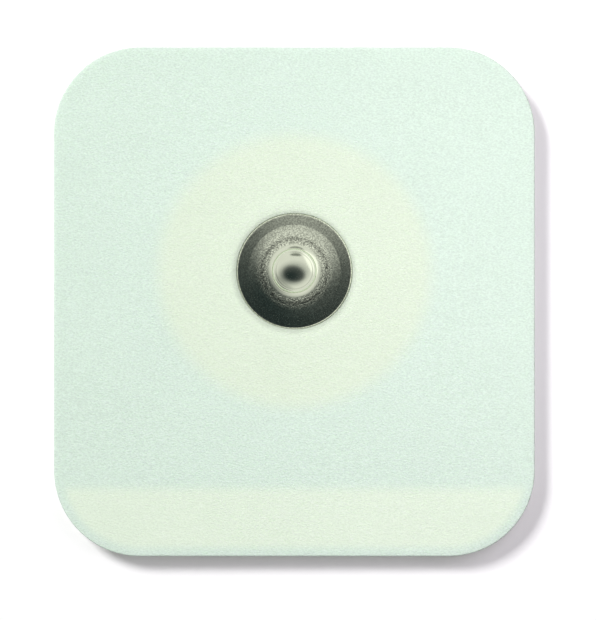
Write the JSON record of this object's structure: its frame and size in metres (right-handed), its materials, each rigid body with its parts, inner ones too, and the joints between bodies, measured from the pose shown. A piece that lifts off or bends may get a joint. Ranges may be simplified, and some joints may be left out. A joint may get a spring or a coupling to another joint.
{
  "type": "ecg electrode",
  "caption": "Adhesive monitoring electrode: a rounded foam square with a gel sensor below and a metal snap stud above for a lead wire.",
  "frame": {"origin": "on the snap stud's axis, in the plane where the gel meets the skin", "axes": "+Z along the stud, away from the skin; +Y towards the edge opposite the pull tab; +X to the right seen from above"},
  "size_m": [0.0426, 0.045, 0.0055],
  "materials": {
    "foam": "matte",
    "adhesive": "gloss",
    "film": "satin",
    "plated_metal": "satin",
    "silver_coating": "satin",
    "gel": "gloss"
  },
  "bodies": {
    "root": {"foam_backing": "foam", "adhesive_coat": "adhesive", "support_disc": "film", "tab_strip": "film", "snap_stud": "plated_metal", "sensor": "silver_coating", "gel_pad": "gel"}
  },
  "joints": []
}
